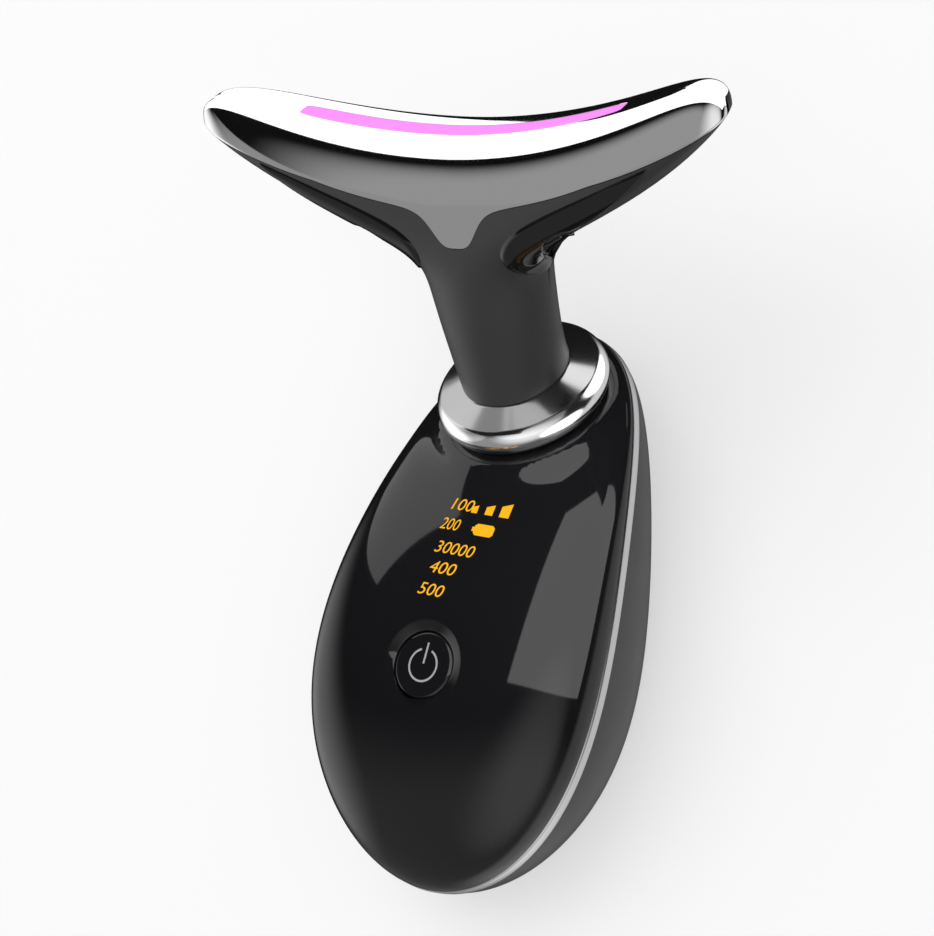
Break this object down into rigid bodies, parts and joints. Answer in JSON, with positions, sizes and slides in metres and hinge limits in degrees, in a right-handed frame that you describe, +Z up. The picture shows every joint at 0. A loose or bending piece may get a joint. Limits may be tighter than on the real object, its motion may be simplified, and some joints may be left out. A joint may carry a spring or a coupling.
{
  "type": "facial toning device",
  "caption": "Egg-shaped handle with a sprung button and trim band, a flared collar and a crescent contact head with a light strip and vibration motor.",
  "frame": {"origin": "on the flat rest face of the rear cover, under the middle of the handle", "axes": "+X to the right of someone facing the button, +Y along the handle towards the head, +Z up out of the front with the button"},
  "size_m": [0.0826, 0.1031, 0.0577],
  "materials": {
    "gloss_black": "gloss",
    "satin_band": "satin",
    "matte_rear": "matte",
    "icon_grey": "matte",
    "polished_collar": "polished",
    "seal_rubber": "matte",
    "inner_plastic": "matte",
    "screw_steel": "satin",
    "matte_neck": "matte",
    "gloss_inlay": "gloss",
    "polished_plate": "polished",
    "pink_lens": "satin",
    "board_green": "satin",
    "led_chip": "satin",
    "film_amber": "satin",
    "chip_black": "matte",
    "motor_steel": "satin",
    "wire_red": "satin",
    "plunger_white": "matte",
    "cell_foil": "satin",
    "contact_brass": "satin"
  },
  "bodies": {
    "handle": {"front_cover": "gloss_black", "trim_band": "satin_band", "rear_cover": "matte_rear", "neck_collar": "polished_collar", "collar_seal": "seal_rubber", "neck_retainer": "inner_plastic", "neck_screws": "screw_steel", "head_shell": "matte_neck", "side_inlays": "gloss_inlay", "head_electrode": "polished_plate", "led_lens": "pink_lens", "led_board": "board_green", "head_leds": "led_chip", "head_carrier": "inner_plastic", "heater_film": "film_amber", "temperature_sensor": "chip_black", "motor_sleeve": "seal_rubber", "motor_can": "motor_steel", "head_wires": "wire_red", "main_board": "board_green", "board_chips": "chip_black", "board_screws": "screw_steel", "tact_switch": "chip_black", "light_box": "inner_plastic", "display_leds": "led_chip", "battery": "cell_foil", "battery_pad": "seal_rubber", "battery_leads": "wire_red", "charge_board": "board_green", "usb_port": "screw_steel", "usb_tongue": "chip_black", "band_contact": "contact_brass", "case_screws": "screw_steel"},
    "button": {"power_button": "gloss_black", "power_icon": "icon_grey"},
    "plunger": {"switch_plunger": "plunger_white"},
    "rotor": {"motor_rotor": "motor_steel"}
  },
  "joints": [
    {"name": "button_press", "type": "slide", "parent": "handle", "child": "button", "axis": [0, 0, -1], "range_m": [0, 0.0005], "stiffness_N_per_m": 900},
    {"name": "plunger_press", "type": "slide", "parent": "handle", "child": "plunger", "axis": [0, 0, -1], "range_m": [0, 0.0005]},
    {"name": "motor_spin", "type": "hinge", "parent": "handle", "child": "rotor", "pos_m": [0, 0.03615, 0.0289], "axis": [0, 0.6933, 0.7207], "continuous": true}
  ],
  "couplings": [
    {"joint": "plunger_press", "follows": "button_press", "ratio": 1}
  ]
}
